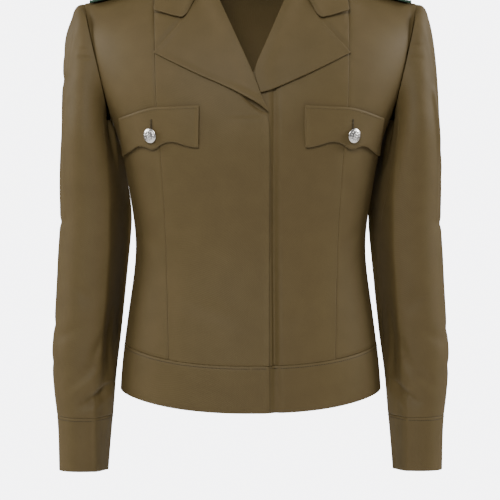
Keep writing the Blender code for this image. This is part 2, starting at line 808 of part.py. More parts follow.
def build_flaps():
    """Pocket flaps with a double scalloped edge and a centre point."""
    for side, word in SIDES:
        places = []
        lift = {}
        for r in range(FLAP_GRID_ROWS + 1):
            up = r / FLAP_GRID_ROWS
            line = []
            for c in range(FLAP_COLS + 1):
                top_x, top_z, low_x, low_z = (read_table(FLAP, c / FLAP_COLS, name) for name in FLAP[0][1:])
                place = locate(side * lerp(low_x, top_x, up), lerp(low_z, top_z, up))
                lift[place] = FLAP_STAND + FLAP_SPRING * (1.0 - up)
                line.append(place)
            places.append(line)
        body_wall(f"pocket_flap_{word}", places, side, lift)


def build_buttons():
    """Domed shank button on each flap."""
    for side, name in SIDES:
        angle, level = locate(side * BUTTON_X, BUTTON_HEIGHT)
        normal = outward(angle, level)
        seat = body_point(angle, level) + normal * (FLAP_STAND + FLAP_SPRING + LAYER_GAP)
        mesh = bmesh.new()
        profile = [mesh.verts.new((r, 0.0, h)) for r, h in BUTTON_PROFILE]
        for a, b in zip(profile, profile[1:]):
            mesh.edges.new((a, b))
        bmesh.ops.spin(mesh, geom=mesh.verts[:] + mesh.edges[:], axis=(0, 0, 1), cent=(0, 0, 0),
                       angle=2.0 * math.pi, steps=BUTTON_SIDES, use_merge=True, use_duplicate=False)
        bmesh.ops.remove_doubles(mesh, verts=mesh.verts, dist=TINY)
        turn = Vector((0.0, 0.0, 1.0)).rotation_difference(normal).to_matrix().to_4x4()
        turn.translation = seat
        bmesh.ops.transform(mesh, matrix=turn, verts=mesh.verts)
        finish(f"flap_button_{name}", mesh, SILVER, METAL_ROUGHNESS, 1.0)


def build_straps():
    """Shoulder strap along each shoulder seam."""
    for side, name in SIDES:
        outer, inner = [], []
        for r in range(STRAP_ROWS + 1):
            x = lerp(STRAP_INNER, STRAP_OUTER, r / STRAP_ROWS)
            half = lerp(STRAP_INNER_HALF, STRAP_OUTER_HALF, r / STRAP_ROWS)
            line, under = [], []
            for c in range(STRAP_COLS + 1):
                reach = lerp(-half, half, c / STRAP_COLS)
                angle, level = shoulder_place(x, reach + STRAP_SHIFT)
                point = body_point(side * angle, level)
                normal = outward(side * angle, level)
                line.append(point + normal * (LAYER_GAP + STRAP_THICK))
                under.append(point + normal * LAYER_GAP)
            outer.append(line)
            inner.append(under)
        shell(f"shoulder_strap_{name}", outer, inner, STRAP_GREEN, STRAP_ROUGHNESS)


def shoulder_place(x, reach):
    """Place on the body at a distance from the middle and from the shoulder seam."""
    front = reach < 0.0
    level = TIP_HEIGHT
    for _ in range(PLACE_TRIES):
        angle = angle_at(x, level, front)
        power = 2.0 / section(level, "square")
        depth = section(level, "front" if front else "back") * abs(math.cos(angle)) ** power
        share = (1.0 - min(1.0, abs(reach) / depth) ** (1.0 / ROOF_EASE)) ** (1.0 / ROOF_POWER)
        level = lerp(ARM_LEVEL, TIP_HEIGHT, share)
    return angle, level


def main():
    """Build the whole garment."""
    for piece in list(bpy.data.objects):
        bpy.data.objects.remove(piece, do_unlink=True)
    build_body()
    build_band()
    build_sleeves()
    build_lapels()
    build_collar()
    build_flaps()
    build_buttons()
    build_straps()


main()
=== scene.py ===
"""Looks of the worn uniform blouse: cloth shells, folds, stitching, buttons and light."""

from __future__ import annotations

import logging
import math
from dataclasses import dataclass, field
from enum import Enum

import bmesh
import bpy
from mathutils import Matrix, Vector
from mathutils.bvhtree import BVHTree

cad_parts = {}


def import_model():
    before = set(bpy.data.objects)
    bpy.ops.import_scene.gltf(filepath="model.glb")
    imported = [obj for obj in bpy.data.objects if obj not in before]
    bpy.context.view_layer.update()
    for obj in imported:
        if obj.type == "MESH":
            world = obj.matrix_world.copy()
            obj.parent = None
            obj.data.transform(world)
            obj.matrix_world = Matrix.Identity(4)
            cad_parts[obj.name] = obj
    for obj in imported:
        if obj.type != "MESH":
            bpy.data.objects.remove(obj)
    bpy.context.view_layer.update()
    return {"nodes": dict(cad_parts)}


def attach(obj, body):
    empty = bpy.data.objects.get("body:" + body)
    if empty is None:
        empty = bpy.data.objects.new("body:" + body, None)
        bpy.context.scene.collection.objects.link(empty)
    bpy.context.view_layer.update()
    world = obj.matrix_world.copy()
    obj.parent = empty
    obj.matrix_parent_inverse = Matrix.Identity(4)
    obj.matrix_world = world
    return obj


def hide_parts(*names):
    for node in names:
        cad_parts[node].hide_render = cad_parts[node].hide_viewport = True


LOG = logging.getLogger("blouse")
Colour = tuple[float, float, float]

# Where the body panels end at the waistband, and how far their inner edge goes down behind it
FOOT_LEVEL = -0.4400
FOOT_DROP = 0.0022
DOWNWARD = 0.20
DOWNWARD_EASE = 0.35
INNER = -0.40
INNER_EASE = 0.50

# Cuffs: how far they hang below their solids, and how they slant down to the back
CUFF_TOP = -0.558
CUFF_END = -0.6235
CUFF_FRONT = -0.060
CUFF_DROP = 0.0022
CUFF_SLANT = 0.085

# Middle lines of the body and of the wearer's left sleeve
BODY_FOOT = (0.0, 0.0, -0.60)
SLEEVE_TOP = (0.190, 0.004, -0.10)
SLEEVE_FOOT = (0.213, -0.015, -0.64)

# Fineness of the cloth: subdivisions, and how the solids' triangles join into quads
PLAIN_LEVELS = 2
FINE_LEVELS = 3
FINE = ("sleeve", "cuff", "front", "lapel", "collar")
QUAD_FACE_TURN = math.radians(30.0)
QUAD_SHAPE_TURN = math.radians(60.0)

# How a crease fades: as the cloth turns away, past its ends and towards them
TURNED_AWAY = 0.45
RIM_WIDTHS = 3.0
END_WIDTHS = 1.6
LEAST_FADE = 0.10
FADE_POWER = 0.8

# Ribs of a wave texture of scale 1 are this far apart, in metres
WAVE_PITCH = 0.314

# How far a line of sight starts and reaches, from the front, from above and towards an axis
SIGHT_REACH = 1.2
ABOVE_START = 0.3
ABOVE_REACH = 0.6
AXIS_REACH = 0.45

# Stitch rows of the waistband and the cuffs: a height on the band, one above it, and the inset
WAISTBAND_ROW = (-0.508, -0.455, 0.0032)
WAISTBAND_STEPS = 220
CUFF_ROW = (-0.575, -0.550, 0.0036)
CUFF_STEPS = 90
EDGE_HALVINGS = 12
# Near-black cord of painted shade under each band's stitch row: its radius, how far it is sunk and its
# sides
GROOVE_SHADE_RADIUS = 0.00034
GROOVE_SHADE_SUNK = 0.00012
GROOVE_SHADE_SIDES = 6

# Heights between which cloth is drawn to what lies behind it, and how that eases
REST_GAP = 0.00025
REST_REACH = 0.0045
UNDER_SLEEVE_REST = (-0.320, -0.212)
SLEEVE_HEAD_REST = (-0.075, 0.0)
SLEEVE_HEAD_REACH = 0.00675
COLLAR_REST = (-0.090, 0.030)
COLLAR_REACH = 0.0060
REST_EASE = 0.02
REST_FULL = 0.6

# Pocket flaps: top edge on the wearer's left, its stitch row, the button and the buttonhole
FLAP_TOP = ((0.0645, -0.1678), (0.0835, -0.1686), (0.1090, -0.1696), (0.1195, -0.1702),
            (0.1285, -0.1720), (0.1385, -0.1750), (0.1515, -0.1794), (0.1610, -0.1826))
FLAP_STEPS = 60
FLAP_ROW_INSET = 0.0032
BUTTON_X = 0.1229
BUTTON_HEIGHT = -0.2045
HOLE_X = 0.1227
HOLE_BELOW = 0.004
HOLE_ABOVE = 0.0192
HOLE_HALF = 0.00085
BAR_PITCH = 0.00062
SLIT_STEPS = 12

# Shoulder straps: free edges on the wearer's left, seen from above, and their piping
STRAP_EDGE = ((0.1210, -0.0080), (0.2015, -0.0100), (0.2015, 0.0255), (0.1210, 0.0240))
STRAP_STEPS = 80
PIPING_RADIUS = 0.0008


class Hand(Enum):
    """Side of the garment, as the wearer has it."""

    RIGHT = -1
    LEFT = 1

    @property
    def word(self) -> str:
        """Name of the side in the pieces' names."""
        return self.name.lower()


class Held(Enum):
    """How a sheet of cloth is held in its place."""

    HUNG = "hung"
    FOLDED = "folded"


class View(Enum):
    """Side that a crease or a row of stitches is laid out from, as its level direction."""

    FRONT = (0.0, -1.0)
    BACK = (0.0, 1.0)
    RIGHT = (-1.0, 0.0)
    LEFT = (1.0, 0.0)

    @property
    def outward(self) -> Vector:
        """Direction from the garment to the viewer."""
        return Vector((*self.value, 0.0))

    def across(self, point: Vector) -> float:
        """Place of a point across the view: x from the front and back, y from the sides."""
        return point.x if self.value[0] == 0.0 else point.y


def eased(share: float) -> float:
    """Ease from 0 to 1, held outside."""
    held = min(1.0, max(0.0, share))
    return held * held * (3.0 - 2.0 * held)


@dataclass(frozen=True)
class Trough:
    """One soft crease, as a line in one view that the cloth sinks along.

    Lengths are in metres. A negative depth makes a ridge. The bank is the share of
    the width by which the side to the left of the line is steeper than the other.
    """

    view: View
    start: tuple[float, float]
    end: tuple[float, float]
    depth: float
    width: float
    bank: float = 0.0
    only: str = ""

    def touches(self, low: Vector, high: Vector) -> bool:
        """True if the crease may reach into a box."""
        rim = RIM_WIDTHS * self.width
        spans = ((self.view.across(low), self.view.across(high)), (low.z, high.z))
        return all(min(self.start[i], self.end[i]) - rim < spans[i][1]
                   and max(self.start[i], self.end[i]) + rim > spans[i][0] for i in range(2))

    def sink(self, point: Vector, inward: Vector) -> float:
        """Depth of the crease at a point.

        Args:
            point: place on the garment.
            inward: level direction from there to the middle of the body or sleeve.

        Returns:
            How far the cloth moves inwards there.
        """
        facing = eased(-inward.dot(self.view.outward) / TURNED_AWAY)
        if facing == 0.0:
            return 0.0
        run = Vector(self.end) - Vector(self.start)
        offset = Vector((self.view.across(point), point.z)) - Vector(self.start)
        share = offset.dot(run) / run.length_squared
        past = max(0.0, abs(share - 0.5) - 0.5) * run.length / (END_WIDTHS * self.width)
        side = run.normalized().cross(offset)
        across = side / (self.width * (1.0 - self.bank if side > 0.0 else 1.0 + self.bank))
        held = min(1.0, max(0.0, share))
        fade = math.sin(math.pi * (LEAST_FADE + (1.0 - 2.0 * LEAST_FADE) * held)) ** FADE_POWER
        return self.depth * facing * fade * math.exp(-across * across - past * past)


@dataclass(frozen=True)
class Pull:
    """One place of a piece that is pulled to where its cut has its corner, as seen from the front."""

    place: tuple[float, float]
    shift: tuple[float, float]
    reach: float
    only: str

    def move(self, point: Vector) -> Vector:
        """Shift of the cloth at a point."""
        away = math.dist((point.x, point.z), self.place) / self.reach
        return Vector((self.shift[0], 0.0, self.shift[1])) * math.exp(-away * away)


@dataclass(frozen=True)
class Tuck:
    """Inner side of a sleeve, laid back along the body, so that its front turns sharply into it.

    Each row has a height, the distance from the middle where the front turns and that of the
    sleeve's innermost line. The tuck eases in below the first row and out above the last one.
    """

    rows: tuple[tuple[float, float, float], ...]
    back: float = 0.030
    share: float = 0.93
    top_ease: float = 0.025
    foot_ease: float = 0.080

    def lay(self, point: Vector) -> float:
        """How far a point moves back."""
        below = (self.rows[0][0] - point.z) / self.top_ease
        above = (point.z - self.rows[-1][0]) / self.foot_ease
        for (top, turn_a, inner_a), (foot, turn_b, inner_b) in zip(self.rows, self.rows[1:]):
            if foot <= point.z < top and point.y < self.back:
                part = (top - point.z) / (top - foot)
                turn = turn_a + (turn_b - turn_a) * part
                inner = inner_a + (inner_b - inner_a) * part
                ends = eased(below) * eased(above)
                inside = eased((turn - abs(point.x)) / (turn - inner))
                return (self.back - point.y) * inside * ends * self.share
        return 0.0


@dataclass(frozen=True)
class ClothFinish:
    """Woven cloth: its colours, its weave and its sheen."""

    name: str
    light: Colour
    dark: Colour
    rib_pitch: float = 0.0011
    rib_height: float = 0.00012
    twill_turn: tuple[float, float, float] = (24.0, 63.0, -35.0)
    patch_scale: float = 38.0
    slub_scale: float = 900.0
    roughness: float = 0.62
    sheen: float = 0.35
    specular: float = 0.32

    def build(self) -> bpy.types.Material:
        """Make the material, with its pattern on Object coordinates.

        Returns:
            The node material.
        """
        material = bpy.data.materials.new(self.name)
        material.use_nodes = True
        tree = material.node_tree
        shader = tree.nodes["Principled BSDF"]
        shader.inputs["Roughness"].default_value = self.roughness
        shader.inputs["Specular IOR Level"].default_value = self.specular
        shader.inputs["Sheen Weight"].default_value = self.sheen
        shader.inputs["Sheen Roughness"].default_value = 0.45
        shader.inputs["Sheen Tint"].default_value = (*self.light, 1.0)
        place = tree.nodes.new("ShaderNodeTexCoord").outputs["Object"]
        turn = tree.nodes.new("ShaderNodeMapping")
        turn.inputs["Rotation"].default_value = tuple(math.radians(angle) for angle in self.twill_turn)
        tree.links.new(place, turn.inputs["Vector"])
        twill = self._wave(tree, turn.outputs["Vector"])
        patches = self._noise(tree, place, self.patch_scale, 4.0)
        slub = self._noise(tree, place, self.slub_scale, 2.0)
        blend = self._mix(tree, patches, slub, 0.45)
        tint = tree.nodes.new("ShaderNodeMix")
        tint.data_type = "RGBA"
        tint.inputs["A"].default_value = (*self.dark, 1.0)
        tint.inputs["B"].default_value = (*self.light, 1.0)
        spread = tree.nodes.new("ShaderNodeMapRange")
        spread.inputs["From Min"].default_value = 0.36
        spread.inputs["From Max"].default_value = 0.64
        tree.links.new(blend, spread.inputs["Value"])
        tree.links.new(spread.outputs["Result"], tint.inputs["Factor"])
        tree.links.new(tint.outputs["Result"], shader.inputs["Base Color"])
        weave = self._mix(tree, twill, slub, 0.35)
        bump = tree.nodes.new("ShaderNodeBump")
        bump.inputs["Strength"].default_value = 0.55
        bump.inputs["Distance"].default_value = self.rib_height
        tree.links.new(weave, bump.inputs["Height"])
        tree.links.new(bump.outputs["Normal"], shader.inputs["Normal"])
        return material

    def _wave(self, tree: bpy.types.NodeTree, vector: bpy.types.NodeSocket) -> bpy.types.NodeSocket:
        """Twill ribs along one diagonal."""
        wave = tree.nodes.new("ShaderNodeTexWave")
        wave.inputs["Scale"].default_value = WAVE_PITCH / self.rib_pitch
        wave.inputs["Distortion"].default_value = 0.6
        wave.inputs["Detail Scale"].default_value = 2.0
        tree.links.new(vector, wave.inputs["Vector"])
        return wave.outputs["Fac"]

    def _noise(self, tree: bpy.types.NodeTree, vector: bpy.types.NodeSocket,
               scale: float, detail: float) -> bpy.types.NodeSocket:
        """Noise of one scale."""
        noise = tree.nodes.new("ShaderNodeTexNoise")
        noise.inputs["Scale"].default_value = scale
        noise.inputs["Detail"].default_value = detail
        tree.links.new(vector, noise.inputs["Vector"])
        return noise.outputs["Fac"]

    def _mix(self, tree: bpy.types.NodeTree, first: bpy.types.NodeSocket,
             second: bpy.types.NodeSocket, share: float) -> bpy.types.NodeSocket:
        """Blend of two values."""
        mix = tree.nodes.new("ShaderNodeMix")
        mix.inputs["Factor"].default_value = share
        tree.links.new(first, mix.inputs["A"])
        tree.links.new(second, mix.inputs["B"])
        return mix.outputs["Result"]


@dataclass(frozen=True)
class MetalFinish:
    """Polished button metal with fine wear."""

    name: str
    colour: Colour
    roughness: float
    wear_scale: float = 1400.0
    polished: float = 0.07
    worn: float = 0.12

    def build(self) -> bpy.types.Material:
        """Make the material.

        Returns:
            The node material.
        """
        material = bpy.data.materials.new(self.name)
        material.use_nodes = True
        tree = material.node_tree
        shader = tree.nodes["Principled BSDF"]
        shader.inputs["Base Color"].default_value = (*self.colour, 1.0)
        shader.inputs["Metallic"].default_value = 1.0
        place = tree.nodes.new("ShaderNodeTexCoord").outputs["Object"]
        noise = tree.nodes.new("ShaderNodeTexNoise")
        noise.inputs["Scale"].default_value = self.wear_scale
        noise.inputs["Detail"].default_value = 3.0
        tree.links.new(place, noise.inputs["Vector"])
        spread = tree.nodes.new("ShaderNodeMapRange")
        spread.inputs["To Min"].default_value = self.roughness - self.polished
        spread.inputs["To Max"].default_value = self.roughness + self.worn
        tree.links.new(noise.outputs["Fac"], spread.inputs["Value"])
        tree.links.new(spread.outputs["Result"], shader.inputs["Roughness"])
        return material


@dataclass
class Wardrobe:
    """All the finishes, made once."""

    cloth: bpy.types.Material
    thread: bpy.types.Material
    strap: bpy.types.Material
    piping: bpy.types.Material
    shade: bpy.types.Material
    metal: bpy.types.Material

    @classmethod
    def stock(cls) -> "Wardrobe":
        """Make every finish.

        Returns:
            The wardrobe.
        """
        return cls(
            cloth=ClothFinish("olive_gabardine", (0.140, 0.097, 0.036), (0.122, 0.084, 0.030)).build(),
            thread=ClothFinish("olive_thread", (0.120, 0.085, 0.036), (0.095, 0.067, 0.028),
                               rib_pitch=0.0006, roughness=0.5).build(),
            strap=ClothFinish("green_strap_cloth", (0.048, 0.108, 0.070), (0.038, 0.086, 0.056),
                              rib_pitch=0.0014).build(),
            shade=ClothFinish("buttonhole_shade", (0.030, 0.021, 0.010), (0.022, 0.015, 0.007)).build(),
            # Piping: a lighter green cord; its lightness is partly a painted highlight along the strap's
            # lit edge
            piping=ClothFinish("green_piping_with_painted_highlight", (0.130, 0.230, 0.175), (0.105, 0.190, 0.145),
                               rib_pitch=0.0008).build(),
            metal=MetalFinish("silver_button", (0.97, 0.93, 0.88), 0.27).build(),
        )


def place_object(name: str, mesh: bpy.types.Mesh, material: bpy.types.Material) -> bpy.types.Object:
    """Put a mesh in the scene as a piece of the garment.

    Args:
        name: name of the piece.
        mesh: its mesh, already in place.
        material: its finish.

    Returns:
        The object.
    """
    piece = bpy.data.objects.new(name, mesh)
    bpy.context.scene.collection.objects.link(piece)
    mesh.materials.clear()
    mesh.materials.append(material)
    mesh.shade_smooth()
    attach(piece, "root")
    return piece


def bmesh_piece(name: str, form: bmesh.types.BMesh, material: bpy.types.Material) -> bpy.types.Object:
    """Turn a bmesh into a piece and free it."""
    mesh = bpy.data.meshes.new(name)
    form.to_mesh(mesh)
    form.free()
    return place_object(name, mesh, material)


@dataclass(frozen=True)
class Cut:
    """Flat cut of one panel: its rectangle, the share that it fills and how it is held."""

    width: float
    length: float
    share: float
    held: Held = Held.HUNG


@dataclass
class ClothPanel:
    """One cloth shell on the form of its solid, with its share of the creases."""

    node: str
    cut: Cut
    edge_crease: float = 0.85
    corner_crease: float = 0.90
    sharp_turn: float = 48.0
    levels: int = PLAIN_LEVELS
    weld: float = 1e-6

    def build(self, nodes: dict[str, bpy.types.Object], creases: list[Trough],
              cloth: bpy.types.Material, slot: str) -> bpy.types.Object:
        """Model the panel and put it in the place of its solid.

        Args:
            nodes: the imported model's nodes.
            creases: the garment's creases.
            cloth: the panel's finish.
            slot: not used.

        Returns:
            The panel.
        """
        form = self._quads(nodes[self.node].data)
        mesh = self._rounded(form)
        self._shape(mesh, creases)
        piece = place_object(f"{self.node}_cloth", mesh, cloth)
        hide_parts(self.node)
        return piece

    def _quads(self, source: bpy.types.Mesh) -> bmesh.types.BMesh:
        """Copy of the solid as welded quads, with its cut edges held."""
        form = bmesh.new()
        form.from_mesh(source)
        bmesh.ops.remove_doubles(form, verts=form.verts, dist=self.weld)
        turn = math.radians(self.sharp_turn)
        bmesh.ops.join_triangles(form, faces=form.faces, angle_face_threshold=QUAD_FACE_TURN,
                                 angle_shape_threshold=QUAD_SHAPE_TURN)
        layer = form.edges.layers.float.new("crease_edge")
        for edge in form.edges:
            if edge.is_manifold and edge.calc_face_angle(0.0) > turn:
                edge[layer] = self.edge_crease
        corner = form.verts.layers.float.new("crease_vert")
        for vertex in form.verts:
            if sum(edge[layer] > 0.0 for edge in vertex.link_edges) > 2:
                vertex[corner] = self.corner_crease
        return form

    def _rounded(self, form: bmesh.types.BMesh) -> bpy.types.Mesh:
        """Smoothly subdivided mesh of the quads."""
        rough = bpy.data.meshes.new(self.node)
        form.to_mesh(rough)
        form.free()
        carrier = bpy.data.objects.new(self.node, rough)
        bpy.context.scene.collection.objects.link(carrier)
        smoother = carrier.modifiers.new("round", "SUBSURF")
        smoother.levels = smoother.render_levels = self.levels
        bpy.context.view_layer.update()
        graph = bpy.context.evaluated_depsgraph_get()
        mesh = bpy.data.meshes.new_from_object(carrier.evaluated_get(graph))
        bpy.data.objects.remove(carrier)
        bpy.data.meshes.remove(rough)
        return mesh

    def _shape(self, mesh: bpy.types.Mesh, creases: list[Trough]) -> None:
        """Hang, tuck and pull the cloth to its place, and then sink its creases."""
        low = Vector([min(v.co[i] for v in mesh.vertices) for i in range(3)])
        high = Vector([max(v.co[i] for v in mesh.vertices) for i in range(3)])
        if self.node.startswith("cuff"):
            self._hang_cuff(mesh)
        if self.node.startswith("sleeve"):
            for vertex in mesh.vertices:
                vertex.co.y += SLEEVE_TUCK.lay(vertex.co)
        if self.node.startswith(("front", "side", "back")):
            self._close_foot(mesh)
        for pull in (p for p in PULLS if p.only == self.node):
            for vertex in mesh.vertices:
                vertex.co = vertex.co + pull.move(vertex.co)
        self._sink(mesh, [c for c in creases if c.only in self.node and c.touches(low, high)])

    def _hang_cuff(self, mesh: bpy.types.Mesh) -> None:
        """Let a cuff down below its seam, further at the back."""
        for vertex in mesh.vertices:
            share = eased((CUFF_TOP - vertex.co.z) / (CUFF_TOP - CUFF_END))
            vertex.co.z -= share * (CUFF_DROP + CUFF_SLANT * (vertex.co.y - CUFF_FRONT))

    def _close_foot(self, mesh: bpy.types.Mesh) -> None:
        """Let the inner half of a body panel's foot down behind the waistband, to close the seam."""
        axis = GarmentAxis.of(self.node)
        for vertex in mesh.vertices:
            down = -vertex.normal.z
            if vertex.co.z < FOOT_LEVEL and down > DOWNWARD:
                inner = eased((vertex.normal.dot(axis.inward(vertex.co)) - INNER) / INNER_EASE)
                vertex.co.z -= FOOT_DROP * eased((down - DOWNWARD) / DOWNWARD_EASE) * inner

    def _sink(self, mesh: bpy.types.Mesh, creases: list[Trough]) -> None:
        """Sink the cloth along some creases, towards its axis."""
        if not creases:
            return
        axis = GarmentAxis.of(self.node)
        for vertex in mesh.vertices:
            inward = axis.inward(vertex.co)
            depth = sum(crease.sink(vertex.co, inward) for crease in creases)
            if depth:
                vertex.co = vertex.co + inward * depth


@dataclass(frozen=True)
class GarmentAxis:
    """Line up the middle of the body or of a sleeve, which creases sink towards."""

    top: Vector
    foot: Vector

    @classmethod
    def of(cls, node: str) -> "GarmentAxis":
        """Axis of the part of the garment that a node belongs to."""
        if node.startswith(("sleeve", "cuff")):
            side = Hand.LEFT.value if node.endswith("left") else Hand.RIGHT.value
            mirror = Matrix.Diagonal((side, 1.0, 1.0))
            return cls(mirror @ Vector(SLEEVE_TOP), mirror @ Vector(SLEEVE_FOOT))
        return cls(Vector((0.0, 0.0, 0.0)), Vector(BODY_FOOT))

    def at(self, height: float) -> Vector:
        """Place on the axis at a height."""
        share = (self.top.z - height) / (self.top.z - self.foot.z)
        return self.top.lerp(self.foot, share)

    def inward(self, point: Vector) -> Vector:
        """Level direction from a point to the axis."""
        way = self.at(point.z) - point
        way.z = 0.0
        return way.normalized()


@dataclass
class DressedSurface:
    """Outside of the dressed garment, for laying stitches and trims on it."""

    tree: BVHTree

    @classmethod
    def of(cls, pieces: list[bpy.types.Object]) -> "DressedSurface":
        """Surface of some pieces together.

        Args:
            pieces: objects with their meshes in place.

        Returns:
            The surface.
        """
        corners: list[Vector] = []
        faces: list[list[int]] = []
        for piece in pieces:
            base = len(corners)
            corners.extend(v.co.copy() for v in piece.data.vertices)
            faces.extend([base + i for i in face.vertices] for face in piece.data.polygons)
        return cls(BVHTree.FromPolygons(corners, faces))

    def seen(self, view: View, across: float, height: float) -> Mark | None:
        """First place met from a view.

        Args:
            view: the side looked from.
            across: place across the view.
            height: height above the origin.

        Returns:
            The mark there, or None where the view meets nothing.
        """
        way = -view.outward
        start = Vector((across, 0.0, height)) if way.x == 0.0 else Vector((0.0, across, height))
        place, normal, _, _ = self.tree.ray_cast(start - way, way, SIGHT_REACH)
        return None if place is None else Mark(place, outward_of(normal, way))

    def below(self, x: float, y: float) -> Mark | None:
        """First place met from above."""
        down = Vector((0.0, 0.0, -1.0))
        place, normal, _, _ = self.tree.ray_cast(Vector((x, y, ABOVE_START)), down, ABOVE_REACH)
        return None if place is None else Mark(place, outward_of(normal, down))

    def from_axis(self, axis: GarmentAxis, turn: float, height: float) -> Mark | None:
        """Outermost place at a turn round an axis.

        Args:
            axis: line up the middle of the body or sleeve.
            turn: angle round it, 0 towards +X.
            height: height above the origin.

        Returns:
            The mark there, or None where there is no cloth.
        """
        middle = axis.at(height)
        way = Vector((-math.cos(turn), -math.sin(turn), 0.0))
        place, normal, _, _ = self.tree.ray_cast(middle - way * AXIS_REACH, way, AXIS_REACH)
        return None if place is None else Mark(place, outward_of(normal, way))


@dataclass(frozen=True)
class Mark:
    """Place on the cloth and its outward normal."""

    place: Vector
    normal: Vector


def outward_of(normal: Vector, way: Vector) -> Vector:
    """Normal turned against the way that it was looked at."""
    return -normal if normal.dot(way) > 0.0 else normal.copy()


def spaced(marks: list[Mark], pitch: float) -> list[tuple[Mark, Vector]]:
    """Marks at even steps along a row, each with the row's direction.

    Args:
        marks: row of places on the cloth.
        pitch: distance between two steps.

    Returns:
        The marks and their directions.
    """
    found: list[tuple[Mark, Vector]] = []
    ahead = pitch / 2
    for first, second in zip(marks, marks[1:]):
        run = second.place - first.place
        while run.length > 0.0 and ahead <= run.length:
            share = ahead / run.length
            normal = first.normal.lerp(second.normal, share).normalized()
            found.append((Mark(first.place + run * share, normal), run.normalized()))
            ahead += pitch
        ahead -= run.length
    return found


@dataclass(frozen=True)
class Thread:
    """Size of the stitches in a row, and the share of their thickness that is sunk in the cloth."""

    pitch: float = 0.0030
    length: float = 0.0025
    thick: float = 0.00052
    sunk: float = 0.25


BAR_THREAD = Thread(0.0006, 0.0015, 0.0006, 0.35)
SLIT_THREAD = Thread(0.0016, 0.0024, 0.0008, 0.40)


@dataclass
class StitchRow:
    """Rows of single stitches, each a thin spindle of thread, joined in one piece."""

    name: str
    thread: Thread = Thread()
    marks: list[tuple[Mark, Vector]] = field(default_factory=list)

    def add(self, row: list[Mark | None]) -> None:
        """Add one row of stitches along some places on the cloth."""
        kept = [mark for mark in row if mark]
        self.marks.extend(spaced(kept, self.thread.pitch))

    def add_bar(self, mark: Mark, way: Vector) -> None:
        """Add one stitch at a place."""
        self.marks.append((mark, way.normalized()))

    def build(self, material: bpy.types.Material, slot: str) -> bpy.types.Object:
        """Make the stitches.

        Returns:
            The piece.
        """
        form = bmesh.new()
        thread = self.thread
        for mark, way in self.marks:
            across = mark.normal.cross(way).normalized()
            rise = way.cross(across).normalized()
            half = thread.thick / 2
            turn = Matrix((way * thread.length / 2, across * half, rise * half)).transposed()
            place = turn.to_4x4()
            place.translation = mark.place + rise * thread.thick * (0.5 - thread.sunk)
            bmesh.ops.create_icosphere(form, subdivisions=1, radius=1.0, matrix=place)
        return bmesh_piece(self.name, form, material)


@dataclass
class Cord:
    """Round cord along some places on the cloth."""

    name: str
    radius: float
    sides: int = 8
    closed: bool = False

    def build(self, marks: list[Mark], material: bpy.types.Material, slot: str) -> bpy.types.Object:
        """Make the cord.

        Args:
            marks: places that it passes, with the cloth's normal.
            material: its finish.
            slot: not used.

        Returns:
            The piece.
        """
        form = bmesh.new()
        count = len(marks)
        rings: list[list[bmesh.types.BMVert]] = []
        for i, mark in enumerate(marks):
            before = marks[i - 1] if i or self.closed else marks[i]
            after = marks[(i + 1) % count] if i + 1 < count or self.closed else marks[i]
            way = (after.place - before.place).normalized()
            across = mark.normal.cross(way).normalized()
            rise = way.cross(across).normalized()
            turn = Matrix((across, rise, way)).transposed().to_4x4()
            turn.translation = mark.place
            circle = bmesh.ops.create_circle(form, segments=self.sides, radius=self.radius, matrix=turn)
            rings.append(circle["verts"])
        pairs = list(zip(rings, rings[1:])) + ([(rings[-1], rings[0])] if self.closed else [])
        for low, high in pairs:
            for k in range(self.sides):
                j = (k + 1) % self.sides
                form.faces.new((low[k], low[j], high[j], high[k]))
        if not self.closed:
            form.faces.new(rings[0])
            form.faces.new(rings[-1])
        bmesh.ops.recalc_face_normals(form, faces=form.faces)
        return bmesh_piece(self.name, form, material)


@dataclass(frozen=True)
class RaisedRing:
    """One ring of a button's raised pattern.

    Its place and width are shares of the button's radius. The bumps round it lean by the
    slant, and the least is the share of the height that is left between two of them.
    """

    place: float
    width: float
    height: float
    bumps: float
    slant: float
    least: float
    parted: bool = False

    def rise(self, reach: float, turn: float) -> float:
        """Height at a share of the radius and an angle."""
        wave = math.cos(self.bumps * turn + self.slant * reach)
        bump = max(0.0, wave) if self.parted else 0.5 + 0.5 * wave
        ring = math.exp(-((reach - self.place) / self.width) ** 2)
        return self.height * ring * (self.least + (1.0 - self.least) * bump)


ROPE = RaisedRing(0.90, 0.045, 0.00022, 44.0, 30.0, 0.30)
WREATH = RaisedRing(0.66, 0.11, 0.00042, 13.0, 9.0, 0.25, parted=True)
ROSETTE = RaisedRing(0.22, 0.13, 0.00040, 6.0, 0.0, 0.30)


